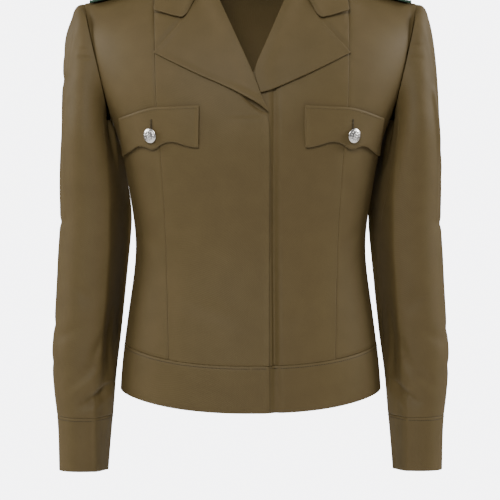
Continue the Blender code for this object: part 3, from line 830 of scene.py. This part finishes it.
@dataclass
class DomedButton:
    """Domed metal button with a rope rim, a wreath of plain leaves and a small rosette."""

    radius: float = 0.0090
    height: float = 0.0034
    stand: float = 0.0022
    shank: float = 0.0020
    rim: float = 0.0011
    crown_start: float = 0.965
    crown_power: float = 2.2
    seat_gap: float = 0.0003
    sectors: int = 112
    rings: int = 30
    weld: float = 1e-7

    def build(self, name: str, seat: Mark, material: bpy.types.Material) -> bpy.types.Object:
        """Make the button on its place.

        Args:
            name: name of the piece.
            seat: place on the flap.
            material: its finish.

        Returns:
            The button.
        """
        form = bmesh.new()
        profile = self._profile()
        outline = [form.verts.new((r, 0.0, h)) for r, h in profile]
        for low, high in zip(outline, outline[1:]):
            form.edges.new((low, high))
        bmesh.ops.spin(form, geom=form.verts[:] + form.edges[:], axis=(0, 0, 1), cent=(0, 0, 0),
                       angle=math.tau, steps=self.sectors, use_merge=True, use_duplicate=False)
        bmesh.ops.remove_doubles(form, verts=form.verts, dist=self.weld)
        for vertex in form.verts:
            reach = math.hypot(vertex.co.x, vertex.co.y) / self.radius
            if vertex.co.z > self.stand + 0.0008:
                turn = math.atan2(vertex.co.y, vertex.co.x)
                vertex.co.z += sum(ring.rise(reach, turn) for ring in (ROPE, WREATH, ROSETTE))
        bmesh.ops.recalc_face_normals(form, faces=form.faces)
        upright = Vector((0.0, 0.0, 1.0)).rotation_difference(seat.normal).to_matrix().to_4x4()
        upright.translation = seat.place + seat.normal * self.seat_gap
        bmesh.ops.transform(form, matrix=upright, verts=form.verts)
        return bmesh_piece(name, form, material)

    def _profile(self) -> list[tuple[float, float]]:
        """Half section, from the shank's foot round the rim to the crown."""
        rim, stand = self.radius, self.stand
        under = [(0.0, 0.0), (self.shank - 0.0001, 0.0), (self.shank + 0.0001, stand - 0.0003),
                 (rim * 0.75, stand - 0.0002), (rim * 0.97, stand + 0.0004), (rim, stand + 0.0009),
                 (rim * 0.985, stand + 0.0013)]
        crown = []
        for k in range(1, self.rings + 1):
            reach = self.crown_start * (1.0 - k / self.rings)
            dome = (self.height - self.rim) * (1.0 - reach ** self.crown_power)
            crown.append((rim * reach, stand + self.rim + dome))
        return under + crown


@dataclass(frozen=True)
class Softbox:
    """Square area light: where it stands, the length of its side in metres and its power in watts."""

    name: str
    place: tuple[float, float, float]
    side: float
    power: float

    def build(self, aim: Vector) -> None:
        """Set the light up, facing a place."""
        data = bpy.data.lights.new(self.name, "AREA")
        data.shape = "SQUARE"
        data.size = self.side
        data.energy = self.power
        light = bpy.data.objects.new(self.name, data)
        light.location = self.place
        light.rotation_euler = (aim - Vector(self.place)).to_track_quat("-Z", "Y").to_euler()
        bpy.context.scene.collection.objects.link(light)


SOFTBOXES = (
    Softbox("key", (-0.45, -2.45, 0.95), 0.8, 44.0),
    Softbox("left", (-2.3, 0.30, 0.8), 1.3, 41.0),
    Softbox("right", (2.3, 0.30, 0.8), 1.3, 49.0),
    Softbox("top", (0.3, -1.2, 2.2), 1.4, 5.0),
    Softbox("back", (0.4, 2.8, 1.2), 1.8, 34.0),
)


@dataclass
class Studio:
    """Pale floor, soft light and the camera at the photograph's angle.

    The middle is the pixel of the square photograph that shows the garment's middle line at
    the camera's height, the horizon. The pixel is its size in metres at the origin's depth.
    """

    distance: float = 2.80
    horizon: float = -0.161
    step_aside: float = -0.050
    pixel: float = 0.00127
    middle: tuple[float, float] = (250.6, 100.0)
    frame_side: int = 500
    sensor: float = 36.0
    chest: tuple[float, float, float] = (0.0, 0.0, -0.30)
    floor_height: float = -1.32
    floor_radius: float = 2.6
    floor_colour: Colour = (0.92, 0.92, 0.92)
    backdrop: Colour = (0.965, 0.965, 1.0)
    backdrop_strength: float = 6.2
    fill: Colour = (0.93, 0.95, 1.0)
    fill_strength: float = 0.13

    def build(self) -> None:
        """Set up the floor, the light and the camera."""
        self._camera()
        self._floor()
        self._world()
        for softbox in SOFTBOXES:
            softbox.build(Vector(self.chest))

    def _camera(self) -> None:
        """Camera that sees the garment as the photograph does."""
        data = bpy.data.cameras.new("camera")
        camera = bpy.data.objects.new("camera", data)
        bpy.context.scene.collection.objects.link(camera)
        focal = self.distance / self.pixel
        drop = math.atan((self.frame_side / 2 - self.middle[1]) / focal)
        data.sensor_width = self.sensor
        data.lens = self.sensor * focal / math.cos(drop) / self.frame_side
        aim = (self.frame_side / 2 - self.middle[0]) * self.pixel
        turn = math.atan((aim - self.step_aside) / self.distance)
        camera.location = (self.step_aside, -self.distance, self.horizon)
        camera.rotation_euler = (math.radians(90.0) - drop, 0.0, -turn)
        bpy.context.scene.camera = camera

    def _floor(self) -> None:
        """Round pale floor below the garment."""
        form = bmesh.new()
        bmesh.ops.create_circle(form, cap_ends=True, segments=96, radius=self.floor_radius)
        bmesh.ops.translate(form, verts=form.verts, vec=(0.0, 0.0, self.floor_height))
        mesh = bpy.data.meshes.new("floor")
        form.to_mesh(mesh)
        form.free()
        material = bpy.data.materials.new("pale_floor")
        material.use_nodes = True
        shader = material.node_tree.nodes["Principled BSDF"]
        shader.inputs["Base Color"].default_value = (*self.floor_colour, 1.0)
        shader.inputs["Roughness"].default_value = 0.7
        mesh.materials.append(material)
        floor = bpy.data.objects.new("floor", mesh)
        bpy.context.scene.collection.objects.link(floor)

    def _world(self) -> None:
        """Even pale surround, softer on the garment than to the camera."""
        world = bpy.data.worlds.new("surround")
        bpy.context.scene.world = world
        world.use_nodes = True
        tree = world.node_tree
        seen = tree.nodes["Background"]
        seen.inputs["Color"].default_value = (*self.backdrop, 1.0)
        seen.inputs["Strength"].default_value = self.backdrop_strength
        lit = tree.nodes.new("ShaderNodeBackground")
        lit.inputs["Color"].default_value = (*self.fill, 1.0)
        lit.inputs["Strength"].default_value = self.fill_strength
        path = tree.nodes.new("ShaderNodeLightPath")
        mix = tree.nodes.new("ShaderNodeMixShader")
        tree.links.new(path.outputs["Is Camera Ray"], mix.inputs["Fac"])
        tree.links.new(lit.outputs["Background"], mix.inputs[1])
        tree.links.new(seen.outputs["Background"], mix.inputs[2])
        tree.links.new(mix.outputs["Shader"], tree.nodes["World Output"].inputs["Surface"])


@dataclass
class Tailor:
    """Lays the sewing and the trims on the dressed garment."""

    wardrobe: Wardrobe
    pieces: dict[str, bpy.types.Object]

    def surface(self, *words: str) -> DressedSurface:
        """Outside of the pieces whose name holds one of some words."""
        return DressedSurface.of([piece for name, piece in self.pieces.items()
                                  if any(word in name for word in words)])

    def edge_ring(self, band: str, row: tuple[float, float, float], steps: int) -> list[Mark | None]:
        """Row round a band, at a distance below its upper edge.

        Args:
            band: name that the band's pieces share.
            row: a height on the band, a height above it and the row's distance from the edge.
            steps: number of places round the band.

        Returns:
            The places on the band.
        """
        surface, axis = self.surface(band), GarmentAxis.of(band)
        within, beyond, inset = row
        ring: list[Mark | None] = []
        for k in range(steps + 1):
            turn = math.tau * k / steps - math.pi / 2
            low, high = within, beyond
            for _ in range(EDGE_HALVINGS):
                middle = (low + high) / 2
                if surface.from_axis(axis, turn, middle):
                    low = middle
                else:
                    high = middle
            ring.append(surface.from_axis(axis, turn, low - inset))
        return ring

    def sew_bands(self) -> None:
        """Rows of stitches below the waistband's and the cuffs' upper seams."""
        self.sew_band("waistband", WAISTBAND_ROW, WAISTBAND_STEPS)
        for hand in Hand:
            self.sew_band(f"cuff_{hand.word}", CUFF_ROW, CUFF_STEPS)

    def sew_band(self, band: str, row: tuple[float, float, float], steps: int) -> None:
        """Row of stitches round one band, and a near-black cord of painted shade along the sunk line that
        it lies in.
        """
        ring = self.edge_ring(band, row, steps)
        stitches = StitchRow(f"{band}_stitches")
        stitches.add(ring)
        stitches.build(self.wardrobe.thread, "gabardine")
        self.groove(f"{band}_groove", ring)

    def groove(self, name: str, ring: list[Mark | None]) -> None:
        """Thin near-black cord of painted shade under a ring of stitches, standing in for the shadow where
        the thread pulls the cloth in.
        """
        marks = [Mark(mark.place - mark.normal * GROOVE_SHADE_SUNK, mark.normal) for mark in ring[:-1] if mark]
        cord = Cord(name, GROOVE_SHADE_RADIUS, GROOVE_SHADE_SIDES, closed=len(marks) == len(ring) - 1)
        cord.build(marks, self.wardrobe.shade, "gabardine")

    def rest_cloth(self) -> None:
        """Rest each sleeve against the body's side, close its head, and rest the collar."""
        for hand in Hand:
            body = self.surface(f"side_front_{hand.word}", f"side_back_{hand.word}")
            lapel = self.surface(f"lapel_{hand.word}")
            self.press(f"sleeve_under_{hand.word}", body, UNDER_SLEEVE_REST, REST_REACH)
            self.press(f"sleeve_upper_{hand.word}", body, SLEEVE_HEAD_REST, SLEEVE_HEAD_REACH)
            self.press("collar", lapel, COLLAR_REST, COLLAR_REACH)

    def press(self, name: str, onto: DressedSurface, heights: tuple[float, float], reach: float) -> None:
        """Draw a piece's cloth to a surface.

        Args:
            name: node of the piece.
            onto: surface that it comes to rest on.
            heights: lowest and highest place that is drawn.
            reach: distance from the surface within which the cloth is drawn.
        """
        lowest, highest = heights
        for vertex in self.pieces[name].data.vertices:
            height = vertex.co.z
            edge = eased((height - lowest) / REST_EASE) * eased((highest - height) / REST_EASE)
            if edge == 0.0:
                continue
            place, _, _, distance = onto.tree.find_nearest(vertex.co, reach)
            if place is None or distance <= REST_GAP:
                continue
            near = eased((reach - distance) / (reach * REST_FULL))
            vertex.co = vertex.co.lerp(place, edge * near * (1.0 - REST_GAP / distance))

    def sew_flaps(self) -> None:
        """Row of stitches below each flap's top, the buttonhole and the button."""
        for hand in Hand:
            flap = self.surface(f"pocket_flap_{hand.word}")
            row = StitchRow(f"pocket_flap_{hand.word}_stitches")
            row.add([flap.seen(View.FRONT, hand.value * x, z - FLAP_ROW_INSET)
                     for x, z in along(FLAP_TOP, FLAP_STEPS)])
            row.build(self.wardrobe.thread, "gabardine")
            self.sew_buttonhole(flap, hand)
            seat = flap.seen(View.FRONT, hand.value * BUTTON_X, BUTTON_HEIGHT)
            if seat:
                name = f"flap_button_{hand.word}"
                button = DomedButton().build(f"{name}_metal", seat, self.wardrobe.metal)
                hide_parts(name)

    def sew_buttonhole(self, flap: DressedSurface, hand: Hand) -> None:
        """Upright buttonhole over and behind the button: a row of near-black spindles as painted shade for
        the slit, between two rows of bars.
        """
        x = hand.value * HOLE_X
        bars = StitchRow(f"buttonhole_{hand.word}", BAR_THREAD)
        slit = StitchRow(f"buttonhole_slit_{hand.word}", SLIT_THREAD)
        low, high = BUTTON_HEIGHT - HOLE_BELOW, BUTTON_HEIGHT + HOLE_ABOVE
        count = int((high - low) / BAR_PITCH)
        for k in range(count + 1):
            height = low + (high - low) * k / count
            for way in (-1.0, 1.0):
                mark = flap.seen(View.FRONT, x + way * HOLE_HALF, height)
                if mark:
                    bars.add_bar(mark, Vector((1.0, 0.0, 0.0)) - mark.normal * mark.normal.x)
        heights = [low + (high - low) * k / SLIT_STEPS for k in range(SLIT_STEPS + 1)]
        slit.add([flap.seen(View.FRONT, x, height) for height in heights])
        bars.build(self.wardrobe.thread, "gabardine")
        # The slit is painted shade: near-black spindles where the cut shows only shadow
        slit.build(self.wardrobe.shade, "gabardine")

    def pipe_straps(self) -> None:
        """Piping round the free edges of each shoulder strap, a lighter green cord whose lightness is
        partly a painted highlight of the lit strap edges.
        """
        for hand in Hand:
            strap = self.surface(f"shoulder_strap_{hand.word}")
            marks = [strap.below(hand.value * x, y) for x, y in along(STRAP_EDGE, STRAP_STEPS)]
            piping = Cord(f"shoulder_strap_{hand.word}_cord", PIPING_RADIUS)
            piping.build([mark for mark in marks if mark], self.wardrobe.piping, "strap_green")


def along(corners: tuple[tuple[float, float], ...], steps: int) -> list[tuple[float, float]]:
    """Places at even steps along a line through some corners."""
    lengths = [math.dist(a, b) for a, b in zip(corners, corners[1:])]
    places = []
    for k in range(steps + 1):
        left = sum(lengths) * k / steps
        i = 0
        while i < len(lengths) - 1 and left > lengths[i]:
            left -= lengths[i]
            i += 1
        share = min(1.0, left / lengths[i])
        (x0, z0), (x1, z1) = corners[i], corners[i + 1]
        places.append((x0 + (x1 - x0) * share, z0 + (z1 - z0) * share))
    return places


CREASES: list[Trough] = [
    # Wearer's right sleeve and cuff, from the front
    Trough(View.FRONT, (-0.1723, -0.5174), (-0.2084, -0.5385), 0.0066, 0.0046, -0.35, "sleeve"),
    Trough(View.FRONT, (-0.1835, -0.4526), (-0.1984, -0.4862), 0.0032, 0.0055, 0.0, "sleeve"),
    Trough(View.FRONT, (-0.1910, -0.4875), (-0.2258, -0.5186), 0.0022, 0.0060, 0.0, "sleeve"),
    Trough(View.FRONT, (-0.1872, -0.4987), (-0.2209, -0.5273), -0.0014, 0.0050, 0.0, "sleeve"),
    Trough(View.FRONT, (-0.1773, -0.5348), (-0.2034, -0.5510), -0.0012, 0.0040, 0.0, "sleeve"),
    Trough(View.FRONT, (-0.2258, -0.3891), (-0.1910, -0.4178), 0.0016, 0.0090, 0.0, "sleeve"),
    Trough(View.FRONT, (-0.2408, -0.4576), (-0.2134, -0.4427), 0.0014, 0.0070, 0.0, "sleeve"),
    Trough(View.FRONT, (-0.1750, -0.1050), (-0.1700, -0.2300), 0.0100, 0.0095, 0.0, "sleeve"),
    Trough(View.FRONT, (-0.1760, -0.4300), (-0.1823, -0.5286), 0.0045, 0.0070, 0.0, "sleeve"),
    Trough(View.FRONT, (-0.1835, -0.5150), (-0.1825, -0.6450), 0.0046, 0.0070),
    Trough(View.FRONT, (-0.1972, -0.5150), (-0.1947, -0.6750), -0.0014, 0.0032),
    Trough(View.FRONT, (-0.2121, -0.1090), (-0.1984, -0.1096), 0.0016, 0.0026, 0.0, "sleeve"),
    Trough(View.FRONT, (-0.2134, -0.0978), (-0.2034, -0.0990), 0.0010, 0.0024, 0.0, "sleeve"),
    # Wearer's left sleeve and cuff, from the front
    Trough(View.FRONT, (0.1738, -0.5149), (0.2062, -0.5348), 0.0058, 0.0046, 0.35, "sleeve"),
    Trough(View.FRONT, (0.1825, -0.4576), (0.1950, -0.4825), 0.0024, 0.0060, 0.0, "sleeve"),
    Trough(View.FRONT, (0.1900, -0.4850), (0.2249, -0.5149), 0.0022, 0.0062, 0.0, "sleeve"),
    Trough(View.FRONT, (0.1875, -0.4987), (0.2199, -0.5273), -0.0014, 0.0050, 0.0, "sleeve"),
    Trough(View.FRONT, (0.1800, -0.5348), (0.2000, -0.5497), -0.0012, 0.0040, 0.0, "sleeve"),
    Trough(View.FRONT, (0.2224, -0.3954), (0.1888, -0.4252), 0.0014, 0.0090, 0.0, "sleeve"),
    Trough(View.FRONT, (0.2386, -0.4626), (0.2124, -0.4477), 0.0014, 0.0070, 0.0, "sleeve"),
    Trough(View.FRONT, (0.1745, -0.1050), (0.1690, -0.2300), 0.0100, 0.0095, 0.0, "sleeve"),
    Trough(View.FRONT, (0.1738, -0.4300), (0.1800, -0.5286), 0.0045, 0.0070, 0.0, "sleeve"),
    Trough(View.FRONT, (0.1825, -0.5150), (0.1815, -0.6450), 0.0044, 0.0070),
    Trough(View.FRONT, (0.1962, -0.5150), (0.1950, -0.6750), -0.0013, 0.0032),
    Trough(View.FRONT, (0.1987, -0.0922), (0.2099, -0.0928), 0.0014, 0.0026, 0.0, "sleeve"),
    Trough(View.FRONT, (0.1962, -0.1090), (0.2087, -0.1090), 0.0012, 0.0026, 0.0, "sleeve"),
    # Long fold down the outside of each sleeve, from the shoulder to above the elbow
    Trough(View.RIGHT, (-0.0300, -0.0700), (-0.0400, -0.1850), -0.0014, 0.0040, 0.0, "sleeve_upper_right"),
    Trough(View.RIGHT, (-0.0400, -0.1600), (-0.0340, -0.3080), -0.0014, 0.0040, 0.0, "sleeve_upper_right"),
    Trough(View.RIGHT, (-0.0240, -0.0800), (-0.0300, -0.2900), 0.0012, 0.0060, 0.0, "sleeve_upper_right"),
    Trough(View.RIGHT, (-0.0340, -0.3120), (0.0200, -0.3180), 0.0018, 0.0050, 0.0, "sleeve_upper_right"),
    Trough(View.LEFT, (-0.0300, -0.0700), (-0.0400, -0.1850), -0.0013, 0.0040, 0.0, "sleeve_upper_left"),
    Trough(View.LEFT, (-0.0400, -0.1600), (-0.0330, -0.3060), -0.0013, 0.0040, 0.0, "sleeve_upper_left"),
    Trough(View.LEFT, (-0.0240, -0.0800), (-0.0300, -0.2900), 0.0011, 0.0060, 0.0, "sleeve_upper_left"),
    Trough(View.LEFT, (-0.0340, -0.3150), (0.0220, -0.3200), 0.0017, 0.0050, 0.0, "sleeve_upper_left"),
    Trough(View.FRONT, (-0.2262, -0.0660), (-0.2325, -0.1290), -0.0034, 0.0026, 0.0, "sleeve_upper_right"),
    Trough(View.FRONT, (-0.2316, -0.1120), (-0.2355, -0.1800), -0.0028, 0.0022, 0.0, "sleeve_upper_right"),
    Trough(View.FRONT, (-0.2308, -0.0640), (-0.2352, -0.1330), 0.0032, 0.0020, 0.0, "sleeve_upper_right"),
    Trough(View.RIGHT, (-0.0280, -0.1370), (0.0280, -0.1430), 0.0020, 0.0068, 0.0, "sleeve_upper_right"),
    Trough(View.RIGHT, (-0.0100, -0.0650), (-0.0050, -0.1250), -0.0020, 0.0150, 0.0, "sleeve_upper_right"),
    Trough(View.FRONT, (0.2275, -0.1500), (0.2385, -0.2500), -0.0036, 0.0026, 0.0, "sleeve_upper_left"),
    # Fronts, lapels and flaps
    Trough(View.FRONT, (-0.1185, -0.2250), (-0.1148, -0.3150), 0.0014, 0.0060, 0.0, "front"),
    Trough(View.FRONT, (0.1129, -0.2260), (0.1202, -0.3270), 0.0014, 0.0060, 0.0, "front"),
    Trough(View.FRONT, (-0.0296, -0.1839), (0.0143, -0.1827), 0.0005, 0.0018, 0.0, "front"),
    Trough(View.FRONT, (-0.0271, -0.1812), (0.0143, -0.1800), -0.0004, 0.0018, 0.0, "front"),
    Trough(View.FRONT, (-0.0060, -0.1585), (0.0165, -0.1755), 0.0090, 0.0026, 0.0, "front_right"),
    Trough(View.FRONT, (0.0232, -0.0900), (0.0250, -0.7000), -0.0024, 0.0060, 0.0, "front_right"),
    Trough(View.FRONT, (0.0258, -0.1400), (0.0288, -0.7000), 0.0058, 0.0036, -0.3, "front_left"),
    Trough(View.FRONT, (-0.0250, -0.1470), (0.0180, -0.1700), -0.0050, 0.0070, 0.0, "lapel_right"),
    Trough(View.FRONT, (-0.1200, -0.1030), (-0.0840, -0.0635), -0.0016, 0.0040, 0.0, "lapel_right"),
    Trough(View.FRONT, (0.1200, -0.1030), (0.0840, -0.0635), -0.0016, 0.0040, 0.0, "lapel_left"),
    Trough(View.FRONT, (-0.1150, -0.0950), (-0.0870, -0.0630), 0.0030, 0.0026, 0.0, "front_right"),
    Trough(View.FRONT, (0.1150, -0.0950), (0.0870, -0.0630), 0.0030, 0.0026, 0.0, "front_left"),
    Trough(View.FRONT, (-0.1150, -0.1050), (-0.0250, -0.1480), -0.0018, 0.0050, 0.0, "lapel_right"),
    Trough(View.FRONT, (0.1150, -0.1050), (0.0250, -0.1480), -0.0014, 0.0050, 0.0, "lapel_left"),
    Trough(View.FRONT, (-0.0645, -0.1640), (-0.0645, -0.2240), -0.0014, 0.0040, 0.0, "pocket_flap_right"),
    Trough(View.FRONT, (0.0645, -0.1640), (0.0645, -0.2240), -0.0014, 0.0040, 0.0, "pocket_flap_left"),
    Trough(View.FRONT, (-0.0880, -0.4049), (-0.0150, -0.4317), 0.0008, 0.0110, 0.0, "front"),
    Trough(View.FRONT, (0.0886, -0.3988), (0.0398, -0.4353), 0.0008, 0.0110, 0.0, "front"),
    Trough(View.FRONT, (-0.1416, -0.3220), (-0.1124, -0.3440), 0.0010, 0.0070, 0.0, "front"),
    Trough(View.FRONT, (0.1385, -0.3172), (0.1117, -0.3440), 0.0010, 0.0070, 0.0, "front"),
    # Back of the body
    Trough(View.BACK, (-0.1500, -0.1500), (-0.0700, -0.1250), 0.0014, 0.0110),
    Trough(View.BACK, (0.1480, -0.1420), (0.0760, -0.1280), 0.0013, 0.0120),
    Trough(View.BACK, (0.0060, -0.2300), (-0.0040, -0.4300), 0.0016, 0.0140, 0.0, "back"),
    Trough(View.BACK, (-0.1350, -0.3900), (-0.0500, -0.4150), 0.0012, 0.0080, 0.0, "back"),
    Trough(View.BACK, (0.1330, -0.4000), (0.0600, -0.4210), 0.0011, 0.0085, 0.0, "back"),
    Trough(View.BACK, (-0.0900, -0.3500), (-0.0300, -0.3420), 0.0009, 0.0090, 0.0, "back"),
    Trough(View.BACK, (0.1540, -0.2300), (0.1200, -0.2750), 0.0012, 0.0080, 0.0, "back"),
    Trough(View.BACK, (-0.1540, -0.2260), (-0.1220, -0.2780), 0.0012, 0.0080, 0.0, "back"),
    # Backs of the sleeves, over the elbows
    Trough(View.BACK, (0.1720, -0.3900), (0.2320, -0.4080), 0.0026, 0.0062, 0.2, "sleeve"),
    Trough(View.BACK, (0.1800, -0.4300), (0.2360, -0.4220), 0.0022, 0.0058, 0.0, "sleeve"),
    Trough(View.BACK, (0.1850, -0.4650), (0.2320, -0.4500), 0.0018, 0.0060, 0.0, "sleeve"),
    Trough(View.BACK, (-0.1740, -0.3950), (-0.2330, -0.4060), 0.0025, 0.0060, -0.2, "sleeve"),
    Trough(View.BACK, (-0.1810, -0.4280), (-0.2350, -0.4250), 0.0021, 0.0060, 0.0, "sleeve"),
    Trough(View.BACK, (-0.1840, -0.4700), (-0.2310, -0.4480), 0.0019, 0.0058, 0.0, "sleeve"),
    # Outsides of the sleeves, over the elbows
    Trough(View.RIGHT, (-0.0350, -0.4550), (0.0250, -0.4300), 0.0018, 0.0075, 0.0, "sleeve_upper_right"),
    Trough(View.RIGHT, (-0.0400, -0.5000), (0.0200, -0.4820), 0.0014, 0.0080, 0.0, "sleeve_upper_right"),
    Trough(View.LEFT, (-0.0340, -0.4600), (0.0260, -0.4330), 0.0017, 0.0078, 0.0, "sleeve_upper_left"),
    Trough(View.LEFT, (-0.0410, -0.5040), (0.0200, -0.4860), 0.0014, 0.0080, 0.0, "sleeve_upper_left"),
]

SLEEVE_TUCK = Tuck((
    (-0.170, 0.1830, 0.1640), (-0.205, 0.1815, 0.1600), (-0.250, 0.1790, 0.1545), (-0.280, 0.1775, 0.1510),
    (-0.345, 0.1780, 0.1545), (-0.415, 0.1825, 0.1616), (-0.530, 0.1900, 0.1730),
))

PULLS: list[Pull] = [
    Pull((-0.0870, -0.0575), (-0.0008, -0.0022), 0.0140, "collar"),
    Pull((-0.0835, -0.0585), (-0.0034, -0.0024), 0.0050, "collar"),
    Pull((0.0870, -0.0575), (0.0008, -0.0022), 0.0140, "collar"),
    Pull((0.0835, -0.0585), (0.0034, -0.0024), 0.0050, "collar"),
    Pull((0.0645, -0.1930), (-0.0022, 0.0000), 0.0320, "pocket_flap_left"),
]

CUTS: dict[str, Cut] = {
    "front": Cut(0.15, 0.50, 0.80),
    "side_front": Cut(0.15, 0.45, 0.80),
    "side_back": Cut(0.15, 0.45, 0.80),
    "back": Cut(0.26, 0.48, 0.85),
    "waistband_front": Cut(0.24, 0.060, 1.0),
    "waistband_back": Cut(0.42, 0.060, 1.0),
    "sleeve_upper": Cut(0.24, 0.56, 0.85),
    "sleeve_under": Cut(0.13, 0.45, 0.85),
    "cuff": Cut(0.24, 0.066, 1.0),
    "lapel": Cut(0.14, 0.16, 0.55, Held.FOLDED),
    "collar": Cut(0.46, 0.075, 0.85, Held.FOLDED),
    "collar_stand": Cut(0.30, 0.030, 0.90),
    "pocket_flap": Cut(0.115, 0.052, 0.9),
    "shoulder_strap": Cut(0.038, 0.086, 0.95),
}

def cut_of(node: str) -> Cut:
    """Cut of the panel that a node is, whichever side it is on."""
    return CUTS[node.removesuffix("_left").removesuffix("_right")]


def main() -> None:
    """Build the garment's pieces in order and report each."""
    logging.basicConfig(level=logging.INFO, format="%(message)s")
    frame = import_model()
    Studio().build()
    wardrobe = Wardrobe.stock()
    nodes = frame["nodes"]
    pieces: dict[str, bpy.types.Object] = {}
    for node in sorted(nodes):
        if node.startswith("flap_button"):
            continue
        strap = node.startswith("shoulder_strap")
        levels = FINE_LEVELS if node.startswith(FINE) else PLAIN_LEVELS
        panel = ClothPanel(node, cut_of(node), levels=levels)
        pieces[node] = panel.build(nodes, CREASES, wardrobe.strap if strap else wardrobe.cloth,
                                   "strap_green" if strap else "gabardine")
        LOG.info("%s: %d faces", node, len(pieces[node].data.polygons))
    tailor = Tailor(wardrobe, pieces)
    tailor.rest_cloth()
    tailor.sew_bands()
    tailor.sew_flaps()
    tailor.pipe_straps()


if __name__ == "__main__":
    main()
